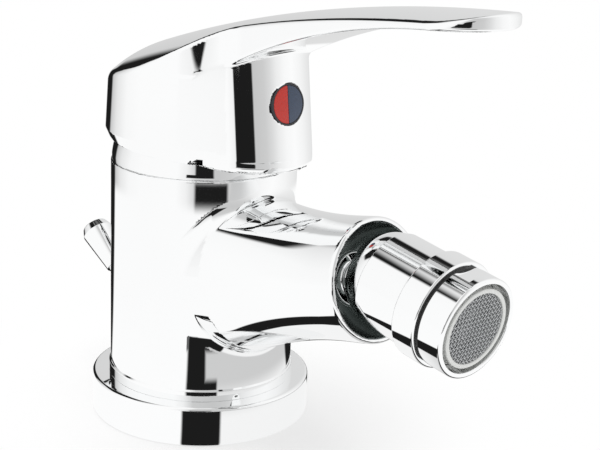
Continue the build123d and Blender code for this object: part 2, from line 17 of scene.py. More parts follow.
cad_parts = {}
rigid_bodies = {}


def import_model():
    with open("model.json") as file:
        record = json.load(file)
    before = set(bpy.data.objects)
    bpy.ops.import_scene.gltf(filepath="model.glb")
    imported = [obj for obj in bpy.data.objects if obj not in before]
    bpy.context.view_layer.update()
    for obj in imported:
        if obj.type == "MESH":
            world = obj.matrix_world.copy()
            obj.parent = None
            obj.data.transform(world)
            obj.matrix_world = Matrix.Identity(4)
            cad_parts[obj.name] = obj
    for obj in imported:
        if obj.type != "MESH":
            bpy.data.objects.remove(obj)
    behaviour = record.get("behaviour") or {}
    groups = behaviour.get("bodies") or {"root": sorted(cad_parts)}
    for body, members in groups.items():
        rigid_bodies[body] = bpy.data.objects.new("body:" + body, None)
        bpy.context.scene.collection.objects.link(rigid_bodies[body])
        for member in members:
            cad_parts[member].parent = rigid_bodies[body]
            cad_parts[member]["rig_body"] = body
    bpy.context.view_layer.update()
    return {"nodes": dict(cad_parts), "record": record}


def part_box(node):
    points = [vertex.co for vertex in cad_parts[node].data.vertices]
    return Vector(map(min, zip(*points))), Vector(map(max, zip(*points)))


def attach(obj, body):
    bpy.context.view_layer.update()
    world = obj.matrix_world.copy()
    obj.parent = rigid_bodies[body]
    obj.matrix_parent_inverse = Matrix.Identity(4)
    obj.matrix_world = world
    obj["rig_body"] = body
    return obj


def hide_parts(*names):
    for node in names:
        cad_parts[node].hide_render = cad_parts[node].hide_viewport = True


MM = 0.001
for leftover in list(bpy.data.objects):
    bpy.data.objects.remove(leftover)
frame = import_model()


# %% Sizes read from the frame
def size_of(node):
    """Lowest and highest corner of a CAD node in millimetres."""
    low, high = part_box(node)
    return np.array(low) / MM, np.array(high) / MM


_, ring_high = size_of("base_ring")
ring_radius = ring_high[0]
ring_height = ring_high[2]
dome_low, dome_high = size_of("dome_ring")
dome_radius = dome_high[0]
body_top = dome_low[2]
_, body_high = size_of("body")
foot_radius = body_high[1]
handle_low, handle_high = size_of("handle")
cap_radius = -handle_low[0]
lever_end = handle_high[0]
print("ring", ring_radius, ring_height, "dome", dome_radius, body_top, "cap", cap_radius, "lever", lever_end)

# %% [markdown]
# ## Helpers for turned pieces
#
# A mixer is mostly turned on a lathe, so most skins are a profile spun round an axis. A polygon model of a
# mirror shows every facet, so the helper does two things a plain Spin doesn't: it rounds each corner of the
# profile with a real arc, and it writes the exact normal of the arc or the flat into the mesh.


# %% Profiles with rounded corners
def arc(centre_r, centre_z, radius, start_deg, end_deg, steps):
    """Points of an arc as (radius, height, normal, normal), its normals pointing away from the centre."""
    points = []
    for step in range(steps + 1):
        angle = radians(start_deg + (end_deg - start_deg) * step / steps)
        normal = (cos(angle), sin(angle))
        points.append((centre_r + radius * normal[0], centre_z + radius * normal[1], normal, normal))
    return points


def rounded_corner(before, corner, after, radius, steps=6):
    """Replaces a corner of a counter-clockwise profile by an arc, outwards or inwards."""
    to_before = Vector(before) - Vector(corner)
    to_after = Vector(after) - Vector(corner)
    to_before.normalize()
    to_after.normalize()
    half = acos(max(-1, min(1, to_before.dot(to_after)))) / 2
    first = Vector((-to_before.y, to_before.x))
    last = Vector((to_after.y, -to_after.x))
    side = 1 if to_before.x * to_after.y - to_before.y * to_after.x < 0 else -1
    middle = Vector(corner) + (to_before + to_after).normalized() * radius / sin(half)
    points = []
    for step in range(steps + 1):
        normal = first.slerp(last, step / steps)
        point = middle + side * radius * normal
        points.append((point.x, point.y, tuple(normal), tuple(normal)))
    return points


def outline(entries, closed):
    """Turns corners (r, z) or (r, z, rounding) and ready arcs into points with both their normals."""
    flat = []
    for entry in entries:
        flat.extend(entry if isinstance(entry, list) else [entry])
    count = len(flat)
    points = []
    for index, entry in enumerate(flat):
        if len(entry) == 3:
            before = flat[index - 1][:2]
            after = flat[(index + 1) % count][:2]
            points.extend(rounded_corner(before, entry[:2], after, entry[2]))
        elif len(entry) == 4:
            points.append(entry)
        else:
            points.append((entry[0], entry[1], None, None))
    finished = []
    for index, (r, z, normal_in, normal_out) in enumerate(points):
        if normal_in is None:
            before = points[index - 1]
            after = points[(index + 1) % len(points)]
            normal_in = (z - before[1], before[0] - r)
            normal_out = (after[1] - z, r - after[0])
            if not closed and index == 0:
                normal_in = normal_out
            if not closed and index == len(points) - 1:
                normal_out = normal_in
        finished.append((r, z, normal_in, normal_out))
    return finished


# %% The lathe
def along(origin, direction):
    """Matrix of a turned piece: its Z axis along a direction, its X axis across the mixer."""
    z_axis = Vector(direction).normalized()
    x_axis = Vector((0, 1, 0))
    y_axis = z_axis.cross(x_axis)
    matrix = Matrix((x_axis, y_axis, z_axis)).transposed().to_4x4()
    matrix.translation = Vector(origin)
    return matrix


UPRIGHT = Matrix.Identity(4)


def put(name, data):
    """Makes an object of this data and links it to the scene."""
    made = bpy.data.objects.new(name, data)
    bpy.context.scene.collection.objects.link(made)
    return made


def keep_mesh(name, vertices, faces, corner_normals):
    """Makes an object at the origin from vertices in millimetres, with normals given corner by corner."""
    mesh = bpy.data.meshes.new(name)
    mesh.from_pydata([tuple(v) for v in np.asarray(vertices) * MM], [], faces)
    mesh.update()
    mesh.polygons.foreach_set("use_smooth", [True] * len(mesh.polygons))
    mesh.normals_split_custom_set(corner_normals)
    return put(name, mesh)


def lathe(name, entries, place=UPRIGHT, closed=True, segments=160, reshape=None):
    """Spins a counter-clockwise profile round the Z axis of a place. reshape may move local points."""
    profile = outline(entries, closed)
    rows = []
    vertices = []
    for r, z, _, _ in profile:
        turns = [0] if r < MM else range(segments)
        rows.append((len(vertices), len(turns)))
        for turn in turns:
            angle = 2 * pi * turn / segments
            vertices.append((r * cos(angle), r * sin(angle), z))
    vertices = np.array(vertices)
    faces, normals = [], []
    last = len(profile) if closed else len(profile) - 1
    for row in range(last):
        after = (row + 1) % len(profile)
        low = Vector(profile[row][3]).normalized()
        high = Vector(profile[after][2]).normalized()
        start, wide = rows[row]
        start_after, wide_after = rows[after]
        for turn in range(segments):
            following = (turn + 1) % segments
            corners = [(start + turn % wide, turn, low)]
            if wide > 1:
                corners.append((start + following, following, low))
            corners.append((start_after + following % wide_after, following, high))
            if wide_after > 1:
                corners.append((start_after + turn, turn, high))
            faces.append([corner[0] for corner in corners])
            for _, at, normal in corners:
                angle = 2 * pi * at / segments
                normals.append((normal.x * cos(angle), normal.x * sin(angle), normal.y))
    normals = np.array(normals)
    if reshape is not None:
        vertices, normals = reshape(vertices, faces, normals)
    turn_only = np.array(place.to_3x3())
    vertices = vertices @ turn_only.T + np.array(place.translation)
    normals = normals @ turn_only.T
    piece = keep_mesh(name, vertices, faces, [tuple(n) for n in normals])
    print(name, len(faces), "faces")
    return piece


# %% [markdown]
# ## Helpers for cast pieces
#
# The body and the lever aren't turned. They are blends of simple solids, so each is written as a distance
# field: a formula that is negative inside the metal and positive outside. Two solids are joined by a
# minimum and cut by a maximum, and the rounded versions below put a real fillet on the joint. A copy of the
# CAD node gives the mesh, remeshed into small even faces, and each of its points is pulled onto the zero of
# the field. The slope of the field is the normal, so the chrome has no facets at all.


# %% Distance fields
def join(a, b, radius):
    """Union of two fields with a fillet of that radius in the corner between them."""
    u = np.maximum(radius - a, 0)
    v = np.maximum(radius - b, 0)
    return np.maximum(radius, np.minimum(a, b)) - np.hypot(u, v)


def cut(a, b, radius):
    """Intersection of two fields with a rounded edge of that radius."""
    u = np.maximum(radius + a, 0)
    v = np.maximum(radius + b, 0)
    return np.minimum(-radius, np.maximum(a, b)) + np.hypot(u, v)


def slope_of(field, points, step=0.01):
    """Gradient of a field by central differences."""
    found = np.zeros_like(points)
    for axis in range(3):
        shift = np.zeros(3)
        shift[axis] = step
        found[:, axis] = (field(points + shift) - field(points - shift)) / (2 * step)
    return found


# %% Even copies and their skins
MERGE = MM / 200
LEAST_SLOPE_SQUARED = 0.25


def merged_mesh(node, flat_angle=None):
    """Copy of a CAD node's mesh with its corners merged, and its flat faces joined if an angle is given."""
    mesh = frame["nodes"][node].data.copy()
    edit = bmesh.new()
    edit.from_mesh(mesh)
    bmesh.ops.remove_doubles(edit, verts=edit.verts, dist=MERGE)
    if flat_angle is not None:
        bmesh.ops.dissolve_limit(edit, angle_limit=flat_angle, verts=edit.verts, edges=edit.edges)
    edit.to_mesh(mesh)
    edit.free()
    return mesh


def applied(work):
    """Plain mesh of an object with its modifiers applied."""
    return bpy.data.meshes.new_from_object(work.evaluated_get(bpy.context.evaluated_depsgraph_get()))


def fine_copy(node, voxel):
    """Copy of a CAD node as even faces of about the voxel's size, in millimetres."""
    work = put(node + "_work", merged_mesh(node))
    remesh = work.modifiers.new("even", "REMESH")
    remesh.mode = "VOXEL"
    remesh.voxel_size = voxel * MM
    fine = applied(work)
    bpy.data.objects.remove(work)
    return fine


def settle(points, fields, voxel, passes):
    """Pulls points onto the zero of every field in turn, by no more than a voxel at a time."""
    for _ in range(passes):
        for field in fields:
            slope = slope_of(field, points)
            steep = np.maximum((slope**2).sum(1), LEAST_SLOPE_SQUARED)
            step = slope * (field(points) / steep)[:, None]
            length = np.maximum(np.linalg.norm(step, axis=1), 1e-9)
            points = points - step * np.minimum(1, voxel / length)[:, None]
    return points


def cast_skin(name, node, field, voxel, reach, passes, rim=()):
    """Skin of a casting: an even copy of the node, pulled onto the field wherever it is near it.

    Points beside the common edge of the rim's two fields are put on that edge."""
    fine = fine_copy(node, voxel)
    points = np.zeros(len(fine.vertices) * 3)
    fine.vertices.foreach_get("co", points)
    points = points.reshape(-1, 3) / MM
    near = np.abs(field(points)) < reach
    moved = settle(points[near], [field], voxel, passes)
    if rim:
        beside = np.all([np.abs(side(moved)) < voxel / 2 for side in rim], axis=0)
        moved[beside] = settle(moved[beside], rim, voxel, passes)
    points[near] = moved
    fine.vertices.foreach_set("co", (points * MM).ravel())
    fine.update()
    fine.polygons.foreach_set("use_smooth", [True] * len(fine.polygons))
    normals = np.zeros(len(fine.vertices) * 3)
    fine.vertex_normals.foreach_get("vector", normals)
    normals = normals.reshape(-1, 3)
    slope = slope_of(field, moved)
    normals[near] = slope / np.linalg.norm(slope, axis=1)[:, None]
    fine.normals_split_custom_set_from_vertices([tuple(n) for n in normals])
    fine.name = name
    fine.materials.clear()
    left = np.abs(field(moved)).max()
    print(name, len(fine.polygons), "faces,", round(near.mean(), 2), "on the field, off by", round(left, 3))
    return put(name, fine)


# %% [markdown]
# ## Finishes
#
# Chrome plate is almost a perfect mirror. What makes it look like metal is that it isn't quite one: the
# polishing leaves a very faint haze and a ripple of a few micrometres. One node group makes both, and each
# material places it with its own scale and its own range of roughness.


# %% Nodes and the polish group
FLOAT = "NodeSocketFloat"
VECTOR = "NodeSocketVector"
WHOLE = "NodeSocketInt"
NOISE_SPAN = (0.35, 0.65)
RIPPLE_FINENESS = 7.0


def new_tree(name, kind, inputs, outputs):
    """Node group with its named inputs (name, type, value) and outputs (name, type)."""
    tree = bpy.data.node_groups.new(name, kind)
    for label, socket_type, value in inputs:
        tree.interface.new_socket(label, in_out="INPUT", socket_type=socket_type).default_value = value
    for label, socket_type in outputs:
        tree.interface.new_socket(label, in_out="OUTPUT", socket_type=socket_type)
    return tree, tree.nodes.new("NodeGroupInput"), tree.nodes.new("NodeGroupOutput")


def node(tree, kind, links=(), **values):
    """Adds a node, sets its properties and default values, and links sockets into it by name or number."""
    made = tree.nodes.new(kind)
    for key, value in values.items():
        setattr(made, key, value)
    for socket, source in links:
        if isinstance(source, (int, float, tuple)):
            made.inputs[socket].default_value = source
        else:
            tree.links.new(source, made.inputs[socket])
    return made


def result(tree, kind, links=(), **values):
    """First output of a new node."""
    return node(tree, kind, links, **values).outputs[0]


def maths(tree, operation, a, b=0.0):
    """Result of one step of arithmetic."""
    return result(tree, "ShaderNodeMath", [(0, a), (1, b)], operation=operation)


def remap(tree, value, low, high, at_low=0.0, at_high=1.0, kind="LINEAR"):
    """Takes a value from one range to another."""
    span = [("Value", value), ("From Min", low), ("From Max", high), ("To Min", at_low), ("To Max", at_high)]
    return node(tree, "ShaderNodeMapRange", span, interpolation_type=kind).outputs["Result"]


def noise(tree, place, scale, detail):
    """Noise of a scale and a detail at a place."""
    texture = node(tree, "ShaderNodeTexNoise", [("Vector", place), ("Scale", scale), ("Detail", detail)])
    return texture.outputs["Fac"]


def colour_ramp(tree, factor, stops):
    """Colour that runs through stops of (position, colour)."""
    ramp = node(tree, "ShaderNodeValToRGB", [("Fac", factor)])
    elements = ramp.color_ramp.elements
    while len(elements) > 1:
        elements.remove(elements[-1])
    for index, (position, colour) in enumerate(stops):
        stop = elements[0] if index == 0 else elements.new(position)
        stop.position = position
        stop.color = (*colour, 1)
    return ramp.outputs["Color"]


def build_polish():
    """Roughness that drifts between two values, and the height of a fine ripple."""
    group, start, end = new_tree(
        "fine_finish",
        "ShaderNodeTree",
        [("Scale", FLOAT, 60.0), ("Smoothest", FLOAT, 0.02), ("Roughest", FLOAT, 0.06)],
        [("Roughness", FLOAT), ("Height", FLOAT)],
    )
    given = start.outputs
    place = node(group, "ShaderNodeTexCoord").outputs["Object"]
    haze = noise(group, place, given["Scale"], 4.0)
    roughness = remap(group, haze, *NOISE_SPAN, given["Smoothest"], given["Roughest"])
    finer = maths(group, "MULTIPLY", given["Scale"], RIPPLE_FINENESS)
    group.links.new(roughness, end.inputs["Roughness"])
    group.links.new(noise(group, place, finer, 2.0), end.inputs["Height"])
    return group


polish = build_polish()
print(polish.name, len(polish.nodes), "nodes")


# %% Materials
COAT_ROUGHNESS = 0.1


def finish_of(name, colour, metallic, scale, smoothest, roughest, ripple_mm, coat=0.0, vary=0.04):
    """Principled material: the polish group gives roughness and relief, a slow noise shifts the colour."""
    material = bpy.data.materials.new(name)
    material.use_nodes = True
    tree = material.node_tree
    shader = tree.nodes["Principled BSDF"].inputs
    shader["Metallic"].default_value = metallic
    shader["Coat Weight"].default_value = coat
    shader["Coat Roughness"].default_value = COAT_ROUGHNESS
    settings = [("Scale", scale), ("Smoothest", smoothest), ("Roughest", roughest)]
    surface = node(tree, "ShaderNodeGroup", settings, node_tree=polish).outputs
    bump = [("Height", surface["Height"]), ("Strength", 1.0), ("Distance", ripple_mm * MM)]
    tree.links.new(surface["Roughness"], shader["Roughness"])
    tree.links.new(node(tree, "ShaderNodeBump", bump).outputs["Normal"], shader["Normal"])
    place = node(tree, "ShaderNodeTexCoord").outputs["Object"]
    drift = noise(tree, place, scale / 3, 3.0)
    darker = [c * (1 - vary) for c in colour]
    lighter = [min(1, c * (1 + vary)) for c in colour]
    tree.links.new(colour_ramp(tree, drift, [(0.3, darker), (0.7, lighter)]), shader["Base Color"])
    return material


# Metallic share, scale, smoothest, roughest and ripple of both halves of the button
enamel = (0.0, 160, 0.16, 0.24, 0.004)
finishes = {
    "chrome": finish_of("polished_chrome", (0.965, 0.97, 0.972), 1.0, 55, 0.015, 0.035, 0.0005, vary=0.01),
    "brass": finish_of("machined_brass", (0.72, 0.55, 0.30), 1.0, 180, 0.18, 0.32, 0.01),
    "steel": finish_of("bright_steel", (0.62, 0.63, 0.64), 1.0, 260, 0.18, 0.30, 0.004),
    "black_rubber": finish_of("black_rubber", (0.02, 0.02, 0.02), 0.0, 300, 0.50, 0.70, 0.02, vary=0.2),
    "white_plastic": finish_of("white_plastic", (0.82, 0.82, 0.80), 0.0, 150, 0.30, 0.42, 0.01),
    "pale_plastic": finish_of("pale_plastic", (0.80, 0.81, 0.79), 0.0, 150, 0.12, 0.22, 0.004, coat=0.4),
    "dark_plastic": finish_of("dark_plastic", (0.03, 0.03, 0.035), 0.0, 220, 0.25, 0.38, 0.006, vary=0.15),
    "ceramic": finish_of("lapped_ceramic", (0.90, 0.90, 0.87), 0.0, 90, 0.08, 0.15, 0.002, coat=0.5),
    "red_plastic": finish_of("red_enamel", (0.66, 0.02, 0.008), *enamel, coat=0.15),
    "blue_plastic": finish_of("slate_blue_enamel", (0.04, 0.065, 0.12), *enamel, coat=0.15),
}
# Dark metal for the lining of the spout's mouth: painted shade in the hollow of the bowl
bowl_shade_finish = finish_of("painted_bowl_shade", (0.17, 0.19, 0.185), 1.0, 90, 0.10, 0.20, 0.004, vary=0.06)
slot_of = {part["node"]: part["material_slot"] for part in frame["record"]["subparts"]}
print(len(finishes), "finishes, and one for the spout's mouth")


def dress(piece, node_name):
    """Gives a new piece the finish of the CAD node's slot and the node's body, and hides the node that it
    replaces.
    """
    slot = slot_of[node_name]
    piece.data.materials.clear()
    piece.data.materials.append(finishes[slot])
    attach(piece, frame["nodes"][node_name]["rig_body"])
    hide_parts(node_name)
    return piece


for name, carried in frame["nodes"].items():
    carried.data.materials.clear()
    carried.data.materials.append(finishes[slot_of[name]])

# %% [markdown]
# ## Places and shared sizes
#
# The spout rises, the swivel falls and the button sits in the leaning barrel. Their axes are written once,
# in the mixer's own frame, and every piece is placed along one of them.

# %% Axes
pivot_depth = 1.4
pivot_z = body_top - pivot_depth
ball_reach = 69.5
ball_depth = 15.1
ball_z = body_top - ball_depth
spout_rise = radians(12.0)
swivel_fall = radians(9.1)
ball_centre = (ball_reach, 0, ball_z)
spout_place = along(ball_centre, (cos(spout_rise), 0, sin(spout_rise)))
swivel_place = along(ball_centre, (cos(swivel_fall), 0, -sin(swivel_fall)))
barrel_radius = 16.0
barrel_x = 15.9
barrel_height = 19.4
barrel_lean = radians(6.35)
index_centre = (
    barrel_x + barrel_radius * cos(barrel_lean),
    0,
    pivot_z + barrel_height + barrel_radius * sin(barrel_lean),
)
index_place = along(index_centre, (cos(barrel_lean), 0, sin(barrel_lean)))
foot_step = 0.4
body_radius = foot_radius - foot_step
rod_tilt = radians(50.0)
rod_height = 17.1
rod_place = along((-body_radius, 0, rod_height), (-sin(rod_tilt), 0, cos(rod_tilt)))
print("pivot", pivot_z, "ball", ball_z, "body radius", body_radius)

# %% [markdown]
# ## Body
#
# One brass casting: a plain upright barrel and a thick spout that flares into it. A sculptor's mesh would
# need many loops to blend the spout into the wall; in a distance field the blend is one fillet radius. The
# foot is turned on the real casting, so it is a lathe band of its own, with a sharper step than a skin
# keeps. A lining of dark metal lies in the bowl of the spout's mouth as painted shade for that hollow.

# %% The body's field
mouth_radius = 15.0
mouth_back = 5.0
mouth_round = 1.1
bowl_radius = 14.75
bowl_edge = 0.45
spout_straight = 12.0
spout_root_back = 47.0
spout_root_radius = 20.0
spout_fillet = 2.5
seam = 0.4
spigot_radius = 22.5
spigot_depth = 3.4
bush_hole_radius = 3.25
bush_hole_depth = 20.0


def in_place(points, place):
    """Points in the local frame of a place, and their distance from its axis."""
    inverse = np.array(place.inverted())
    local = points @ inverse[:3, :3].T + inverse[:3, 3]
    return local, np.hypot(local[:, 0], local[:, 1])


def spout_field(points):
    """Tube about the spout's axis whose radius grows along a circular arc towards the body."""
    local, r = in_place(points, spout_place)
    t = local[:, 2]
    run = spout_root_back - spout_straight
    growth = spout_root_radius - mouth_radius
    flare = (run**2 + growth**2) / (2 * growth)
    back = np.minimum(t + spout_straight, 0)
    tube = np.where(back < 0, flare - np.hypot(back, mouth_radius + flare - r), r - mouth_radius)
    tube = np.where(t < -spout_root_back, r - spout_root_radius, tube)
    tube = np.maximum(tube, spout_fillet - spout_root_back - body_radius - t)
    return cut(tube, t + mouth_back, mouth_round)


def body_field(points):
    """Outside of the casting with its seam, mouth bowl and the hole for the lift rod's bush."""
    rho = np.hypot(points[:, 0], points[:, 1])
    z = points[:, 2]
    barrel = cut(rho - body_radius, z - body_top, seam)
    solid = join(barrel, np.maximum(spout_field(points), -z), spout_fillet)
    solid = np.maximum(solid, ring_height - z)
    spigot = np.maximum(rho - spigot_radius, ring_height - spigot_depth - z)
    solid = np.minimum(solid, spigot)
    local, r = in_place(points, spout_place)
    bowl = np.sqrt(r**2 + local[:, 2] ** 2) - bowl_radius
    solid = cut(solid, -bowl, bowl_edge)
    local, r = in_place(points, rod_place)
    hole = np.maximum(r - bush_hole_radius, -bush_hole_depth - local[:, 2])
    return np.maximum(solid, -hole)


# %% The mouth's lining, the skin and the foot
bowl_start = -64
bowl_end = -23
bowl_steps = 16
lining_proud = 0.04
lining_sunk = 0.3
facing_out = arc(0, 0, bowl_radius - lining_proud, bowl_end, bowl_start, bowl_steps)
lining_inside = [(r, z, (-across, -up), (-across, -up)) for r, z, (across, up), _ in facing_out]
lining_back = arc(0, 0, bowl_radius + lining_sunk, bowl_start, bowl_end, bowl_steps)
# A dark sheet in the bowl of the mouth, carrying the painted shade of that hollow
lining = lathe("mouth_shade_lining", [lining_back, lining_inside], spout_place)
dress(lining, "body")
lining.data.materials[0] = bowl_shade_finish

dress(cast_skin("body_skin", "body", body_field, voxel=0.6, reach=2.5, passes=14), "body")

foot_height = 3.05
foot_top = ring_height + foot_height
foot_inside = body_radius - 0.6
foot_shoulder = 0.4
foot_overlap = 0.05
foot = lathe(
    "foot_band",
    [
        (foot_inside, ring_height),
        (foot_radius, ring_height, 0.1),
        (foot_radius, foot_top - foot_shoulder, 0.25),
        (body_radius - foot_overlap, foot_top + foot_overlap),
        (foot_inside, foot_top + foot_overlap),
    ],
    segments=240,
)
dress(foot, "body")

# %% [markdown]
# ## Lever
#
# The lever is one zinc casting: a cap over the dome, a round barrel at its front that carries the button,
# and a long blade with a crowned top. The cap runs into the barrel with a smooth flank, so the skin has a
# skirt there: at each height, the outline of a band stretched round both circles. The top is one long arc
# that turns down over the rear. The same field method gives it the soft edge that a polishing wheel leaves.

# %% The lever's field
lip_height = 6.5
lip_tilt = radians(3.85)
lip_radius = 24.15
lip_round = 0.3
bevel_height = 3.4
cap_top_radius = cap_radius - 0.8
cap_draft_height = 20.0
cap_round = 3.0
cap_rear_radius = cap_radius - 0.7
rear_relief_x = 8.0
rear_relief = radians(12.0)
ridge_radius = 392.0
ridge_slope = radians(17.29)
ridge_height = 34.9
crown_radius = 45.0
lever_half_width = 12.4
lever_blend = 14.0
under_start = 17.0
under_middle = 55.1
root_thickness = 12.5
middle_thickness = 5.2
tip_thickness = 3.8
under_round = 0.9
barrel_round = 4.5
barrel_bottom = 17.5
barrel_join = 1.5
blade_join = 1.0
dome_clearance = 0.25
boss_radius = 9.95
boss_height = 12.7
seat_radius = 5.2
seat_depth = 2.3
ridge_x = ridge_radius * sin(ridge_slope)
ridge_z = pivot_z + ridge_height - ridge_radius * cos(ridge_slope)
edge_round = 0.8


# %% The ridge and the underside of the blade
def ridge_at(x):
    """Height of the lever's ridge at a distance from the mixer's axis."""
    return ridge_z + sqrt(ridge_radius**2 - (x - ridge_x) ** 2)


def circle_through(a, b, c):
    """Centre and radius of the circle through three points."""
    ax, ay = a
    bx, by = b
    cx, cy = c
    d = 2 * (ax * (by - cy) + bx * (cy - ay) + cx * (ay - by))
    ux = ((ax**2 + ay**2) * (by - cy) + (bx**2 + by**2) * (cy - ay) + (cx**2 + cy**2) * (ay - by)) / d
    uy = ((ax**2 + ay**2) * (cx - bx) + (bx**2 + by**2) * (ax - cx) + (cx**2 + cy**2) * (bx - ax)) / d
    return ux, uy, hypot(ax - ux, ay - uy)


under_x, under_z, under_radius = circle_through(
    (under_start, ridge_at(under_start) - root_thickness),
    (under_middle, ridge_at(under_middle) - middle_thickness),
    (lever_end, ridge_at(lever_end) - tip_thickness),
)
print("the underside is an arc of radius", round(under_radius, 1))


def top_field(points):
    """Everything under the crowned top: the long arc of the lever, and the small arc down the rear."""
    x, y, z = points.T
    rear_x = cap_rear_radius - cap_radius
    lean_back = asin((ridge_x - rear_x) / (ridge_radius - cap_rear_radius))
    rear_z = ridge_z + (ridge_radius - cap_rear_radius) * cos(lean_back)
    along_ridge = np.hypot(x - ridge_x, z - ridge_z)
    long_arc = np.hypot(along_ridge - (ridge_radius - crown_radius), y) - crown_radius
    along_rear = np.hypot(x - rear_x, np.maximum(z - rear_z, 0))
    rear_arc = np.hypot(along_rear - (cap_rear_radius - crown_radius), y) - crown_radius
    ahead = (x - rear_x) * cos(lean_back) + (z - rear_z) * sin(lean_back) > 0
    return np.where(ahead, long_arc, rear_arc)


# %% The cap, the barrel and the skirt between them
def cap_field(points):
    """Cone-shaped cap: widening from its lip, then drawn in a little towards the top."""
    rho = np.hypot(points[:, 0], points[:, 1])
    z = points[:, 2]
    lip_z = pivot_z + lip_height
    bevel = atan2(cap_radius - lip_radius, bevel_height)
    draft = atan2(cap_radius - cap_top_radius, cap_draft_height - bevel_height)
    lower = (rho - lip_radius) * cos(bevel) - (z - lip_z) * sin(bevel)
    upper = (rho - cap_radius) * cos(draft) + (z - lip_z - bevel_height) * sin(draft)
    return cut(lower, np.minimum(upper, rho - cap_top_radius), cap_round)


def barrel_field(points):
    """Leaning barrel with a rounded lower edge."""
    centre = (barrel_x, 0, pivot_z + barrel_height)
    local, r = in_place(points, along(centre, (-sin(barrel_lean), 0, cos(barrel_lean))))
    return cut(r - barrel_radius, -barrel_bottom - local[:, 2], barrel_round)


round_share = 0.9
steepest = 0.95


def front_field(points):
    """Skirt between the cap and the barrel: at each height the outline of a band round both circles."""
    x, y, z = points.T
    lip_z = pivot_z + lip_height
    bevel = (z - lip_z) * (cap_radius - lip_radius) / bevel_height
    draft = (z - lip_z - bevel_height) * (cap_radius - cap_top_radius) / (cap_draft_height - bevel_height)
    rear = np.minimum(lip_radius + bevel, np.clip(cap_radius - draft, cap_top_radius, cap_radius))
    centre_z = pivot_z + barrel_height
    middle = barrel_x - (z - centre_z) * tan(barrel_lean)
    round_start = centre_z - (barrel_bottom - barrel_round) * cos(barrel_lean)
    sunk = np.clip(round_start - z, 0, barrel_round * round_share)
    front = barrel_radius - barrel_round + np.sqrt(barrel_round**2 - sunk**2)
    b = np.clip((rear - front) / middle, -steepest, steepest)
    a = np.sqrt(1 - b**2)
    side = np.abs(y)
    k = a * x - b * side
    ahead = np.hypot(x - middle, y) - front
    between = a * side + b * x - rear
    return np.where(k < 0, np.hypot(x, y) - rear, np.where(k > a * middle, ahead, between))


# %% The blade
def plan_field(x, y):
    """Outline of the lever from above: a round-ended strip, filleted into the cap's circle."""
    ahead = np.maximum(x - lever_end + lever_half_width, 0)
    strip = np.hypot(ahead, y) - lever_half_width
    blend_y = lever_half_width + lever_blend
    blend_x = sqrt((cap_top_radius + lever_blend) ** 2 - blend_y**2)
    circle = np.hypot(x, y) - cap_top_radius
    blend = lever_blend - np.hypot(x - blend_x, np.abs(y) - blend_y)
    in_blend = (np.abs(y) * blend_x < x * blend_y) & (np.abs(y) < blend_y)
    return np.where(x > blend_x, strip, np.where(in_blend, blend, circle))


def blade_field(points):
    """Blade with an arched underside, which is flat where the cap takes over."""
    x, y, z = points.T
    arched = under_radius - np.hypot(x - under_x, z - under_z)
    under = np.where(x < under_start, ridge_at(under_start) - root_thickness - z, arched)
    return cut(plan_field(x, y), under, under_round)


# %% The whole lever
def seat_field(points):
    """Inside of the round seat of the button."""
    local, r = in_place(points, index_place)
    return np.maximum(r - seat_radius, -seat_depth - local[:, 2])


def lever_outside(points):
    """The whole lever with its hollow underside."""
    x, y, z = points.T
    solid = join(cap_field(points), barrel_field(points), barrel_join)
    solid = np.minimum(solid, front_field(points))
    solid = join(solid, blade_field(points), blade_join)
    solid = cut(solid, top_field(points), edge_round)
    lip = -((z - pivot_z - lip_height) * cos(lip_tilt) + x * sin(lip_tilt))
    hinge_z = pivot_z + lip_height + rear_relief_x * tan(lip_tilt)
    rear = -((z - hinge_z) * cos(rear_relief) + (x + rear_relief_x) * sin(rear_relief))
    solid = cut(solid, np.maximum(lip, rear), lip_round)
    cavity_radius = dome_radius + dome_clearance
    ball = np.sqrt(x**2 + y**2 + (z - pivot_z) ** 2) - cavity_radius
    boss = np.maximum(np.hypot(x, y) - boss_radius, pivot_z + boss_height - z)
    return np.maximum(solid, -np.maximum(ball, -boss))


def handle_field(points):
    """The lever with the seat of its button."""
    return np.maximum(lever_outside(points), -seat_field(points))


rim = (lever_outside, seat_field)
dress(cast_skin("lever_skin", "handle", handle_field, voxel=0.5, reach=3.0, passes=16, rim=rim), "handle")

# %% [markdown]
# ## Base ring
#
# A plain turned ring with a softly rounded top edge. A circle swept by a profile is a rule, so it is a
# Geometry Nodes tree with the ring's sizes as its inputs.


# %% The ring tree
def geometry_tree(name, sizes):
    """Geometry Nodes tree with an input for each named size, the sizes' sockets, and the tree's end."""
    inputs = [(label, WHOLE if isinstance(value, int) else FLOAT, value) for label, value in sizes.items()]
    tree, start, end = new_tree(name, "GeometryNodeTree", inputs, [("Geometry", "NodeSocketGeometry")])
    return tree, start.outputs, end


def finish_tree(tree, end, geometry, material):
    """Ends a tree as the export needs it: smooth, real geometry with its material set."""
    smooth = result(tree, "GeometryNodeSetShadeSmooth", [("Geometry", geometry)])
    real = result(tree, "GeometryNodeRealizeInstances", [("Geometry", smooth)])
    coloured = node(tree, "GeometryNodeSetMaterial", [("Geometry", real)])
    coloured.inputs["Material"].default_value = material
    tree.links.new(coloured.outputs[0], end.inputs["Geometry"])


ring_wall = 6.4
ring_edge = 0.9
ring_sizes = {
    "Outer Radius": ring_radius * MM,
    "Wall": ring_wall * MM,
    "Height": ring_height * MM,
    "Edge Radius": ring_edge * MM,
    "Segments": 240,
}


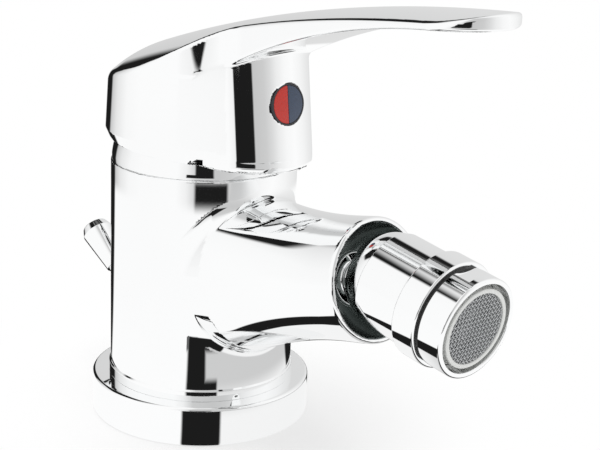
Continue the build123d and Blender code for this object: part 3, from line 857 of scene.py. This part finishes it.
def build_ring_tree():
    """Rectangle with rounded corners swept round a circle."""
    tree, sizes, end = geometry_tree("rounded_ring", ring_sizes)
    middle = maths(tree, "SUBTRACT", sizes["Outer Radius"], maths(tree, "MULTIPLY", sizes["Wall"], 0.5))
    circle = [("Resolution", sizes["Segments"]), ("Radius", middle)]
    path = result(tree, "GeometryNodeCurvePrimitiveCircle", circle)
    rectangle = [("Width", sizes["Wall"]), ("Height", sizes["Height"])]
    section = result(tree, "GeometryNodeCurvePrimitiveQuadrilateral", rectangle)
    fillet = [("Curve", section), ("Radius", sizes["Edge Radius"]), ("Count", 6)]
    eased = result(tree, "GeometryNodeFilletCurve", fillet, mode="POLY")
    swept = result(tree, "GeometryNodeCurveToMesh", [("Curve", path), ("Profile Curve", eased)])
    lift = result(tree, "ShaderNodeCombineXYZ", [("Z", maths(tree, "MULTIPLY", sizes["Height"], 0.5))])
    lifted = result(tree, "GeometryNodeTransform", [("Geometry", swept), ("Translation", lift)])
    finish_tree(tree, end, lifted, finishes["chrome"])
    return tree


def grow(name, tree, weighted=True):
    """Runs a Geometry Nodes tree with its own sizes and returns the result as a plain mesh object."""
    work = put(name + "_work", bpy.data.meshes.new(name + "_work"))
    modifier = work.modifiers.new(name, "NODES")
    modifier.node_group = tree
    if weighted:
        even = work.modifiers.new("weighted", "WEIGHTED_NORMAL")
        even.keep_sharp = True
        even.weight = 100
    mesh = applied(work)
    bpy.data.objects.remove(work)
    mesh.name = name
    print(name, len(mesh.polygons), "faces")
    return put(name, mesh)


dress(grow("base_ring_skin", build_ring_tree()), "base_ring")

# %% [markdown]
# ## Dome ring
#
# The chrome dome that the lever's skirt slides over. It is a slice of a sphere about the lever's pivot, so
# the gap to the skirt stays the same at every lift.

# %% The dome
dome_opening = 19.04
dome_foot = 23.93
dome_wall = 1.8
dome_lip = 1.0
dome_rise = 8.0
foot_angle = degrees(acos(dome_foot / dome_radius))
opening_angle = degrees(acos(dome_opening / dome_radius))
dome_foot_top = pivot_z + sqrt(dome_radius**2 - dome_foot**2)
dome = lathe(
    "dome_skin",
    [
        (dome_opening - dome_wall, body_top),
        (dome_foot, body_top, 0.25),
        arc(0, pivot_z, dome_radius, foot_angle, opening_angle, 24),
        (dome_opening - dome_lip, dome_foot_top + dome_rise),
    ],
)
dress(dome, "dome_ring")

# %% [markdown]
# ## Swivel and aerator
#
# A sleeve on a ball, with a thicker collar, a dark washer, and the aerator's shell. They are turned pieces,
# so each is a profile on the swivel's axis. The spanner flats are pressed into the shell after it is spun.

# %% Turned pieces of the swivel
sleeve_radius = 11.83
sleeve_start = -0.6
sleeve_back = -0.4
tail_radius = 11.5
tail_start = -34
tail_end = -4
collar_radius = 13.05
collar_start = 12.1
collar_end = 18.8
sleeve_bore = 10.05
shell_radius = 12.15
shell_back = 19.6
shell_front = 26.0
shell_inner = 10.8
insert_ring = 9.7
insert_bore = 8.6

sleeve = lathe(
    "sleeve_skin",
    [
        (sleeve_bore, collar_end),
        (sleeve_bore, sleeve_back, 0.3),
        arc(0, 0, tail_radius, tail_start, tail_end, 8),
        (sleeve_radius, sleeve_start, 0.25),
        (sleeve_radius, collar_start, 0.3),
        (collar_radius, collar_start, 0.5),
        (collar_radius, collar_end, 0.5),
    ],
    swivel_place,
)
dress(sleeve, "swivel_sleeve")

flat_depth = 0.6
flat_length = 4.4
flat_step = 0.05
flat_offset = shell_radius - flat_depth
flat_end = shell_back + flat_length


def press_flats(vertices, faces, normals):
    """Presses two spanner flats into the rear of the shell, above and below."""
    in_zone = (vertices[:, 2] < flat_end + MM) & (np.abs(vertices[:, 1]) > flat_offset)
    vertices = vertices.copy()
    vertices[in_zone, 1] = np.sign(vertices[in_zone, 1]) * flat_offset
    corner = 0
    for face in faces:
        if all(in_zone[v] for v in face) and np.ptp(vertices[face, 2]) > MM:
            side = np.sign(vertices[face[0], 1])
            normals[corner : corner + len(face)] = (0, side, 0)
        corner += len(face)
    return vertices, normals


shell = lathe(
    "aerator_shell_skin",
    [
        (shell_inner, shell_back),
        (shell_radius, shell_back),
        (shell_radius, flat_end),
        (shell_radius, flat_end + flat_step),
        (shell_radius, shell_front, 0.55),
        (shell_inner, shell_front, 0.35),
    ],
    swivel_place,
    segments=240,
    reshape=press_flats,
)
dress(shell, "aerator_shell")

insert_front = shell_front - 0.15
insert_shoulder = shell_front - 4.6
insert_fit = shell_inner - 0.05
insert = lathe(
    "aerator_insert_skin",
    [
        (insert_bore, insert_front, 0.25),
        (insert_bore, shell_back, 0.2),
        (insert_fit, shell_back, 0.2),
        (insert_fit, insert_shoulder, 0.2),
        (insert_ring, insert_shoulder, 0.1),
        (insert_ring, insert_front, 0.3),
    ],
    swivel_place,
)
dress(insert, "aerator_insert")

# %% [markdown]
# ## Outlet mesh
#
# The aerator's face is a woven wire mesh. Weaving is a rule: each wire is a cosine, and its neighbour and
# the wires across it are half a wave behind. The tree makes one wire, repeats it, bends it by that rule and
# gives it its thickness, so the pitch and the wire can be changed by name.


# %% The weave tree
weave_pitch = 0.78
weave_rise = 0.12
wire_radius = 0.13
weave_edge = 0.3
weave_setback = 0.5
weave_radius = insert_bore - 0.05
weave_sizes = {
    "Radius": weave_radius * MM,
    "Pitch": weave_pitch * MM,
    "Wires": 2 * int((weave_radius - weave_edge) / weave_pitch) + 1,
    "Points": 96,
    "Rise": weave_rise * MM,
    "Wire Radius": wire_radius * MM,
}


def wave_field(tree, value, index, sizes, sign):
    """Height of a wire: a cosine of its place along the wire, turned over on every second wire."""
    turns = maths(tree, "DIVIDE", value, sizes["Pitch"])
    phase = maths(tree, "MULTIPLY", maths(tree, "ADD", turns, index), pi)
    wave = maths(tree, "COSINE", phase)
    return maths(tree, "MULTIPLY", wave, maths(tree, "MULTIPLY", sizes["Rise"], sign))


def wire_set(tree, sizes, sign, turned):
    """One direction of the weave, cut to the round frame by the length of its chord."""
    ends = [("Start", (-1.0, 0.0, 0.0)), ("End", (1.0, 0.0, 0.0))]
    line = result(tree, "GeometryNodeCurvePrimitiveLine", ends)
    fine = result(tree, "GeometryNodeResampleCurve", [("Curve", line), ("Count", sizes["Points"])])
    repeat = [("Geometry", fine), ("Amount", sizes["Wires"])]
    many = node(tree, "GeometryNodeDuplicateElements", repeat, domain="SPLINE").outputs
    half = maths(tree, "MULTIPLY", maths(tree, "SUBTRACT", sizes["Wires"], 1.0), 0.5)
    index = maths(tree, "SUBTRACT", many["Duplicate Index"], half)
    across = maths(tree, "MULTIPLY", index, sizes["Pitch"])
    square = maths(tree, "MULTIPLY", sizes["Radius"], sizes["Radius"])
    chord = maths(tree, "SQRT", maths(tree, "SUBTRACT", square, maths(tree, "MULTIPLY", across, across)))
    position = result(tree, "GeometryNodeInputPosition")
    split = node(tree, "ShaderNodeSeparateXYZ", [("Vector", position)]).outputs
    lengthwise = maths(tree, "MULTIPLY", split["X"], chord)
    height = wave_field(tree, lengthwise, index, sizes, sign)
    pair = [("X", across), ("Y", lengthwise)] if turned else [("X", lengthwise), ("Y", across)]
    target = result(tree, "ShaderNodeCombineXYZ", [*pair, ("Z", height)])
    return result(tree, "GeometryNodeSetPosition", [("Geometry", many[0]), ("Position", target)])


def build_weave_tree():
    """Two sets of wires that cross, woven over and under each other in a round frame."""
    tree, sizes, end = geometry_tree("woven_mesh", weave_sizes)
    both = node(tree, "GeometryNodeJoinGeometry")
    for sign, turned in ((1.0, False), (-1.0, True)):
        tree.links.new(wire_set(tree, sizes, sign, turned), both.inputs[0])
    circle = [("Resolution", 6), ("Radius", sizes["Wire Radius"])]
    section = result(tree, "GeometryNodeCurvePrimitiveCircle", circle)
    sweep = [("Curve", both.outputs[0]), ("Profile Curve", section), ("Fill Caps", True)]
    finish_tree(tree, end, result(tree, "GeometryNodeCurveToMesh", sweep), finishes["steel"])
    return tree


weave = grow("outlet_weave", build_weave_tree(), weighted=False)
weave_place = Matrix.Scale(MM, 4) @ swivel_place @ Matrix.Translation((0, 0, shell_front - weave_setback))
weave_place = weave_place @ Matrix.Rotation(radians(45), 4, "Z") @ Matrix.Scale(1 / MM, 4)
weave.data.transform(weave_place)
dress(weave, "outlet_mesh")

# %% [markdown]
# ## Ball, knob and rod
#
# The ball that shows in the spout's mouth, and the rod of the pop-up waste with its conical knob, are
# turned too. The knob widens to a flat chamfered end that gives the fingers something to pull.

# %% Turned ball, rod and knob
ball_radius = 9.0
ball_mouth = 3.2
ball_mouth_depth = 0.3
neck_radius = 4.0
stud_bore = 2.7
stud_back = -27.0
flange_radius = 6.5
flange_back = -14.2
flange_front = -12.7
neck_angle = degrees(acos(neck_radius / ball_radius))
mouth_angle = degrees(acos(ball_mouth / ball_radius))
ball_stud = lathe(
    "ball_stud_skin",
    [
        (stud_bore, stud_back),
        (flange_radius, flange_back),
        (flange_radius, flange_front, 0.3),
        (neck_radius, flange_front, 0.5),
        arc(0, 0, ball_radius, -neck_angle, mouth_angle, 40),
        (stud_bore, sqrt(ball_radius**2 - ball_mouth**2) - ball_mouth_depth),
    ],
    spout_place,
)
dress(ball_stud, "ball_stud")

rod_reach = 30.5
rod_radius = 2.4
rod_start = -18.0
rod_end = rod_reach - 2.0
lift_rod = lathe(
    "lift_rod_skin",
    [(0, rod_start), (rod_radius, rod_start, 0.3), (rod_radius, rod_end), (0, rod_end)],
    rod_place,
    closed=False,
    segments=64,
)
dress(lift_rod, "lift_rod")
knob_start = rod_reach - 12.0
knob_end = rod_reach + 2.3
knob_neck = 2.9
knob_radius = 4.45
knob_face = 3.5
knob = lathe(
    "lift_knob_skin",
    [
        (0, knob_start),
        (knob_neck, knob_start, 0.25),
        (knob_radius, rod_reach, 0.35),
        (knob_face, knob_end, 0.5),
        (0, knob_end),
    ],
    rod_place,
    closed=False,
    segments=96,
)
dress(knob, "lift_knob")

# %% [markdown]
# ## Button, bush and washer
#
# Small moulded pieces keep their CAD shape. A merged copy gets a fine bevel, because no moulded edge is
# sharp, and the bevel is what catches the light.


# %% Bevelled copies
FLAT_ANGLE = radians(1)
SHARP_ANGLE = radians(40)


def eased_copy(name, node_name, bevel):
    """Merged copy of a CAD node with a fine bevel on its edges, as a plain mesh."""
    mesh = merged_mesh(node_name, FLAT_ANGLE)
    mesh.name = name
    piece = put(name, mesh)
    mesh.polygons.foreach_set("use_smooth", [True] * len(mesh.polygons))
    edge = piece.modifiers.new("edge", "BEVEL")
    edge.width = bevel * MM
    edge.segments = 3
    edge.limit_method = "ANGLE"
    edge.angle_limit = SHARP_ANGLE
    edge.harden_normals = True
    finished = applied(piece)
    piece.modifiers.clear()
    piece.data = finished
    finished.name = name
    print(name, len(finished.polygons), "faces")
    return dress(piece, node_name)


eased_copy("index_hot_button", "index_hot", 0.12)
eased_copy("index_cold_button", "index_cold", 0.12)
eased_copy("index_bezel_rim", "index_bezel", 0.1)
eased_copy("rod_bush_rim", "rod_bush", 0.15)
eased_copy("joint_washer_ring", "joint_washer", 0.1)

# %% [markdown]
# ## Studio
#
# Chrome has no colour of its own, so the studio is half of the finish. The room is white. A narrow dark gap
# beside the camera and another behind the mixer give the upright black lines that make a cylinder read as
# chrome, and soft grey on the right gives it depth. One group draws a gap that stands in one direction from
# the mixer. The world and the table use it with the same directions, so that a gap runs on across both.


# %% A soft-edged upright gap
def vectors(tree, operation, a, b=(0.0, 0.0, 0.0)):
    """Outputs of one step of vector arithmetic: a vector, or a length or product as its Value."""
    return node(tree, "ShaderNodeVectorMath", [(0, a), (1, b)], operation=operation).outputs


def build_gap():
    """Mask of an upright dark gap that stands in one direction from the mixer's axis."""
    group, start, end = new_tree(
        "upright_gap",
        "ShaderNodeTree",
        [
            ("Direction", VECTOR, (0, 0, 0)),
            ("Towards", VECTOR, (1, 0, 0)),
            ("Aside", VECTOR, (0, 1, 0)),
            ("Half Width", FLOAT, 0.1),
            ("Softness", FLOAT, 0.04),
        ],
        [("Mask", FLOAT)],
    )
    given = start.outputs
    unit = vectors(group, "NORMALIZE", given["Direction"])[0]
    off = maths(group, "ABSOLUTE", vectors(group, "DOT_PRODUCT", unit, given["Aside"])["Value"])
    facing = vectors(group, "DOT_PRODUCT", unit, given["Towards"])["Value"]
    outer = maths(group, "ADD", given["Half Width"], given["Softness"])
    edge = remap(group, off, given["Half Width"], outer, 1.0, 0.0, "SMOOTHSTEP")
    ahead = maths(group, "GREATER_THAN", facing)
    group.links.new(maths(group, "MULTIPLY", edge, ahead), end.inputs["Mask"])
    return group


gap_group = build_gap()
print(gap_group.name, len(gap_group.nodes), "nodes")


def gap_mask(tree, direction, azimuth_deg, half_width_deg, soft_deg):
    """Places the gap group at an azimuth, with its width in degrees."""
    angle = radians(azimuth_deg)
    settings = [
        ("Direction", direction),
        ("Towards", (cos(angle), sin(angle), 0)),
        ("Aside", (-sin(angle), cos(angle), 0)),
        ("Half Width", sin(radians(half_width_deg))),
        ("Softness", sin(radians(soft_deg))),
    ]
    return node(tree, "ShaderNodeGroup", settings, node_tree=gap_group).outputs["Mask"]


def smooth_step(tree, value, low, high, at_low=0.0, at_high=1.0):
    """Takes a value from one range to another with soft ends."""
    return remap(tree, value, low, high, at_low, at_high, "SMOOTHSTEP")


def mix_level(tree, mask, level, other):
    """Level where the mask is 0, the other level where it is 1."""
    inputs = [("Factor", mask), ("A", level), ("B", other)]
    return result(tree, "ShaderNodeMix", inputs, data_type="FLOAT")


DARK = 0.012


def shade(tree, level, mask, *limits, other=DARK):
    """Another level, dark if none is given, where the mask and all of its limits are 1."""
    for limit in limits:
        mask = maths(tree, "MULTIPLY", mask, limit)
    return mix_level(tree, mask, level, other)


# %% [markdown]
# ### Walls
#
# The walls are white, turning grey from the camera round to the right, as a tent does when its one open
# side is there. The grey is a ramp over the azimuth, with a handful of given stops. The gap beside the
# camera stays low and shows in upright metal. The gap behind the mixer is tall, and a wide dark overhang
# crosses it high up, which shows where the metal faces up.


# %% The walls' brightness by azimuth
wall_stops = [
    (-180, 0.50),
    (-160, 0.82),
    (-140, 0.97),
    (-120, 1.0),
    (-72, 1.0),
    (-60, 0.90),
    (-48, 0.62),
    (-24, 0.58),
    (-8, 0.62),
    (4, 0.72),
    (16, 0.86),
    (32, 0.96),
    (50, 1.0),
    (74, 0.93),
    (90, 0.86),
    (110, 0.80),
    (150, 0.66),
    (180, 0.50),
]


def wall_level(tree, direction):
    """Brightness of the white walls in a direction, and the direction's height."""
    split = node(tree, "ShaderNodeSeparateXYZ", [("Vector", direction)]).outputs
    share = remap(tree, maths(tree, "ARCTAN2", split["Y"], split["X"]), -pi, pi)
    stops = [((azimuth + 180) / 360, (level, level, level)) for azimuth, level in wall_stops]
    return colour_ramp(tree, share, stops), split["Z"]


# %% The gaps in the walls
# Azimuth, half width and softness in degrees
camera_gap = (-39.0, 9.5, 3.0)
rear_gap = (170.0, 11.0, 5.0)
overhang = (176.0, 26.0, 4.0)
# Heights between which an edge fades, as the upward part of a direction
camera_gap_top = (0.34, 0.28)
rear_gap_top = (0.95, 0.86)
overhang_bottom = (0.46, 0.54)
overhang_top = (0.90, 0.80)


def room_level(tree, direction):
    """Walls with the gap beside the camera, the gap behind the mixer and the overhang across it."""
    level, height = wall_level(tree, direction)
    for gap, top in ((camera_gap, camera_gap_top), (rear_gap, rear_gap_top)):
        level = shade(tree, level, gap_mask(tree, direction, *gap), smooth_step(tree, height, *top))
    bottom = smooth_step(tree, height, *overhang_bottom)
    above = maths(tree, "MULTIPLY", bottom, smooth_step(tree, height, *overhang_top))
    return shade(tree, level, gap_mask(tree, direction, *overhang), above)


# %% The world
WHITE = (1.0, 1.0, 1.0, 1.0)
SOFT_LIGHT = 0.72


def ray_kinds(tree):
    """1 for the camera's own rays, and 1 for the rays that leave a mirror."""
    path = node(tree, "ShaderNodeLightPath").outputs
    return path["Is Camera Ray"], maths(tree, "MAXIMUM", path["Is Glossy Ray"], path["Is Transmission Ray"])


def mix_shaders(tree, factor, first, second):
    """First shader where the factor is 0, second where it is 1."""
    return result(tree, "ShaderNodeMixShader", [("Fac", factor), (1, first), (2, second)])


def build_world():
    """The drawn room for mirrors, a softer white as light for the rest, and plain white for the camera."""
    world = bpy.data.worlds.new("studio")
    bpy.context.scene.world = world
    world.use_nodes = True
    tree = world.node_tree
    tree.nodes.clear()
    level = room_level(tree, node(tree, "ShaderNodeTexCoord").outputs["Generated"])
    mirrored = result(tree, "ShaderNodeBackground", [("Color", level), ("Strength", 1.0)])
    soft = result(tree, "ShaderNodeBackground", [("Color", WHITE), ("Strength", SOFT_LIGHT)])
    plain = result(tree, "ShaderNodeBackground", [("Color", WHITE), ("Strength", 1.0)])
    camera_ray, mirror_ray = ray_kinds(tree)
    lit = mix_shaders(tree, mirror_ray, soft, mirrored)
    seen = mix_shaders(tree, camera_ray, lit, plain)
    node(tree, "ShaderNodeOutputWorld", [("Surface", seen)])


build_world()
print("the walls have", len(wall_stops), "stops of grey")

# %% [markdown]
# ### Table
#
# The camera sees a pale table that keeps a soft shadow. Mirrors see a picture drawn on the same table: the
# dark gaps run on across it, and close to the mixer a grey window is framed by a dark arch with two legs,
# which show in the underside of the spout and low on the body. Each shape is a gap with an edge at some
# distance from the mixer's axis.


# %% The table's picture
# Azimuth, half width and softness in degrees
wide_gap = (-31.0, 17.0, 4.0)
lever_gap = (-47.5, 12.0, 2.0)
window = (19.0, 52.0, 5.0)
arch = (35.0, 80.0, 4.0)
left_leg = (-44.0, 8.0, 3.0)
right_leg = (99.0, 22.0, 5.0)
foot_gap = (-37.5, 18.5, 3.0)
foot_gap_shift = (-0.0113, 0.0097, 0.0)
# Distances in metres between which an edge fades
far_start = (0.228, 0.250)
farther_start = (0.390, 0.410)
wide_gap_end = (0.285, 0.270)
near_end = (0.113, 0.107)
arch_start = (0.082, 0.088)
left_leg_start = (0.050, 0.056)
foot_gap_end = (0.066, 0.060)
window_fall = (0.045, 0.062, 0.93, 0.62)
WALL_FOOT = -0.06


def floor_level(tree, place):
    """Brightness of the table for mirrors, by the distance and direction from the mixer."""
    flat = vectors(tree, "MULTIPLY", place, (1.0, 1.0, 0.0))[0]
    distance = vectors(tree, "LENGTH", flat)["Value"]
    drop = vectors(tree, "ADD", flat, (0.0, 0.0, WALL_FOOT))[0]

    def edge(span):
        return smooth_step(tree, distance, *span)

    far, farther, near = edge(far_start), edge(farther_start), edge(near_end)
    level = mix_level(tree, far, 1.0, wall_level(tree, drop)[0])
    level = shade(tree, level, gap_mask(tree, flat, *camera_gap), farther)
    level = shade(tree, level, gap_mask(tree, flat, *wide_gap), edge(wide_gap_end), far)
    level = shade(tree, level, gap_mask(tree, flat, *lever_gap), farther)
    level = shade(tree, level, gap_mask(tree, drop, *rear_gap))
    level = shade(tree, level, gap_mask(tree, flat, *window), near, other=edge(window_fall))
    shifted = vectors(tree, "ADD", flat, foot_gap_shift)[0]
    dark = gap_mask(tree, flat, *right_leg)
    for direction, gap, span in (
        (flat, arch, arch_start),
        (flat, left_leg, left_leg_start),
        (shifted, foot_gap, foot_gap_end),
    ):
        within = maths(tree, "MULTIPLY", gap_mask(tree, direction, *gap), edge(span))
        dark = maths(tree, "MAXIMUM", dark, within)
    return shade(tree, level, dark, near)


# %% The table
floor_half = 2.5
paper_white = (0.93, 0.93, 0.93, 1.0)
shadow_fade = (0.035, 0.085, 0.6, 1.0)


def build_floor():
    """Square table: paper near the mixer and pure white beyond for the camera, the picture for mirrors."""
    half = floor_half
    mesh = bpy.data.meshes.new("table")
    corners = [(-half, -half, 0), (half, -half, 0), (half, half, 0), (-half, half, 0)]
    mesh.from_pydata(corners, [], [(0, 1, 2, 3)])
    table = put("table", mesh)
    material = bpy.data.materials.new("pale_table")
    material.use_nodes = True
    tree = material.node_tree
    tree.nodes.clear()
    place = node(tree, "ShaderNodeTexCoord").outputs["Object"]
    mirrored = result(tree, "ShaderNodeEmission", [("Color", floor_level(tree, place)), ("Strength", 1.0)])
    paper = result(tree, "ShaderNodeBsdfDiffuse", [("Color", paper_white)])
    white = result(tree, "ShaderNodeEmission", [("Color", WHITE), ("Strength", 1.0)])
    fade = smooth_step(tree, vectors(tree, "LENGTH", place)["Value"], *shadow_fade)
    camera_ray, mirror_ray = ray_kinds(tree)
    seen = mix_shaders(tree, camera_ray, paper, mix_shaders(tree, fade, paper, white))
    surface = mix_shaders(tree, mirror_ray, seen, mirrored)
    node(tree, "ShaderNodeOutputMaterial", [("Surface", surface)])
    mesh.materials.append(material)
    print("the table's picture and its surface have", len(tree.nodes), "nodes")


build_floor()

# %% [markdown]
# ### Lamp and camera
#
# One large soft lamp from above gives the table its shadow. It is hidden from mirrors, whose picture of the
# studio is drawn above. The camera is the photographer's: a long lens a little above the mixer.


# %% The lamp
lamp_place = (-0.15, -0.10, 0.8)
lamp_aim = (0.0, 0.0, 0.05)


def build_lamp():
    """Round lamp above the mixer and a little behind it, aimed at its middle."""
    light = bpy.data.lights.new("overhead", "AREA")
    light.shape = "DISK"
    light.size = 0.6
    light.energy = 3.0
    lamp = put("overhead", light)
    lamp.location = lamp_place
    lamp.rotation_euler = (Vector(lamp_aim) - lamp.location).to_track_quat("-Z", "Y").to_euler()
    lamp.visible_glossy = False
    print("lamp", light.energy, "W, at", lamp_place)


build_lamp()

# %% The camera
camera_place = (293.2, -241.5, 164.1)
camera_aim = (-0.6973, 0.6577, -0.2852)
camera_roll = radians(2.16)


def build_camera():
    """Long lens, placed in millimetres, aimed along a direction and rolled a little."""
    data = bpy.data.cameras.new("camera")
    data.lens = 90.0
    data.sensor_width = 36.0
    data.sensor_fit = "HORIZONTAL"
    data.clip_start = 0.01
    camera = put("camera", data)
    forward = Vector(camera_aim).normalized()
    level_right = forward.cross(Vector((0, 0, 1))).normalized()
    level_up = level_right.cross(forward)
    right = cos(camera_roll) * level_right + sin(camera_roll) * level_up
    turn = Matrix((right, right.cross(forward), -forward)).transposed()
    camera.matrix_world = Matrix.Translation(Vector(camera_place) * MM) @ turn.to_4x4()
    bpy.context.scene.camera = camera


build_camera()
print("camera at", camera_place, "mm")
bpy.context.scene.view_settings.view_transform = "Standard"
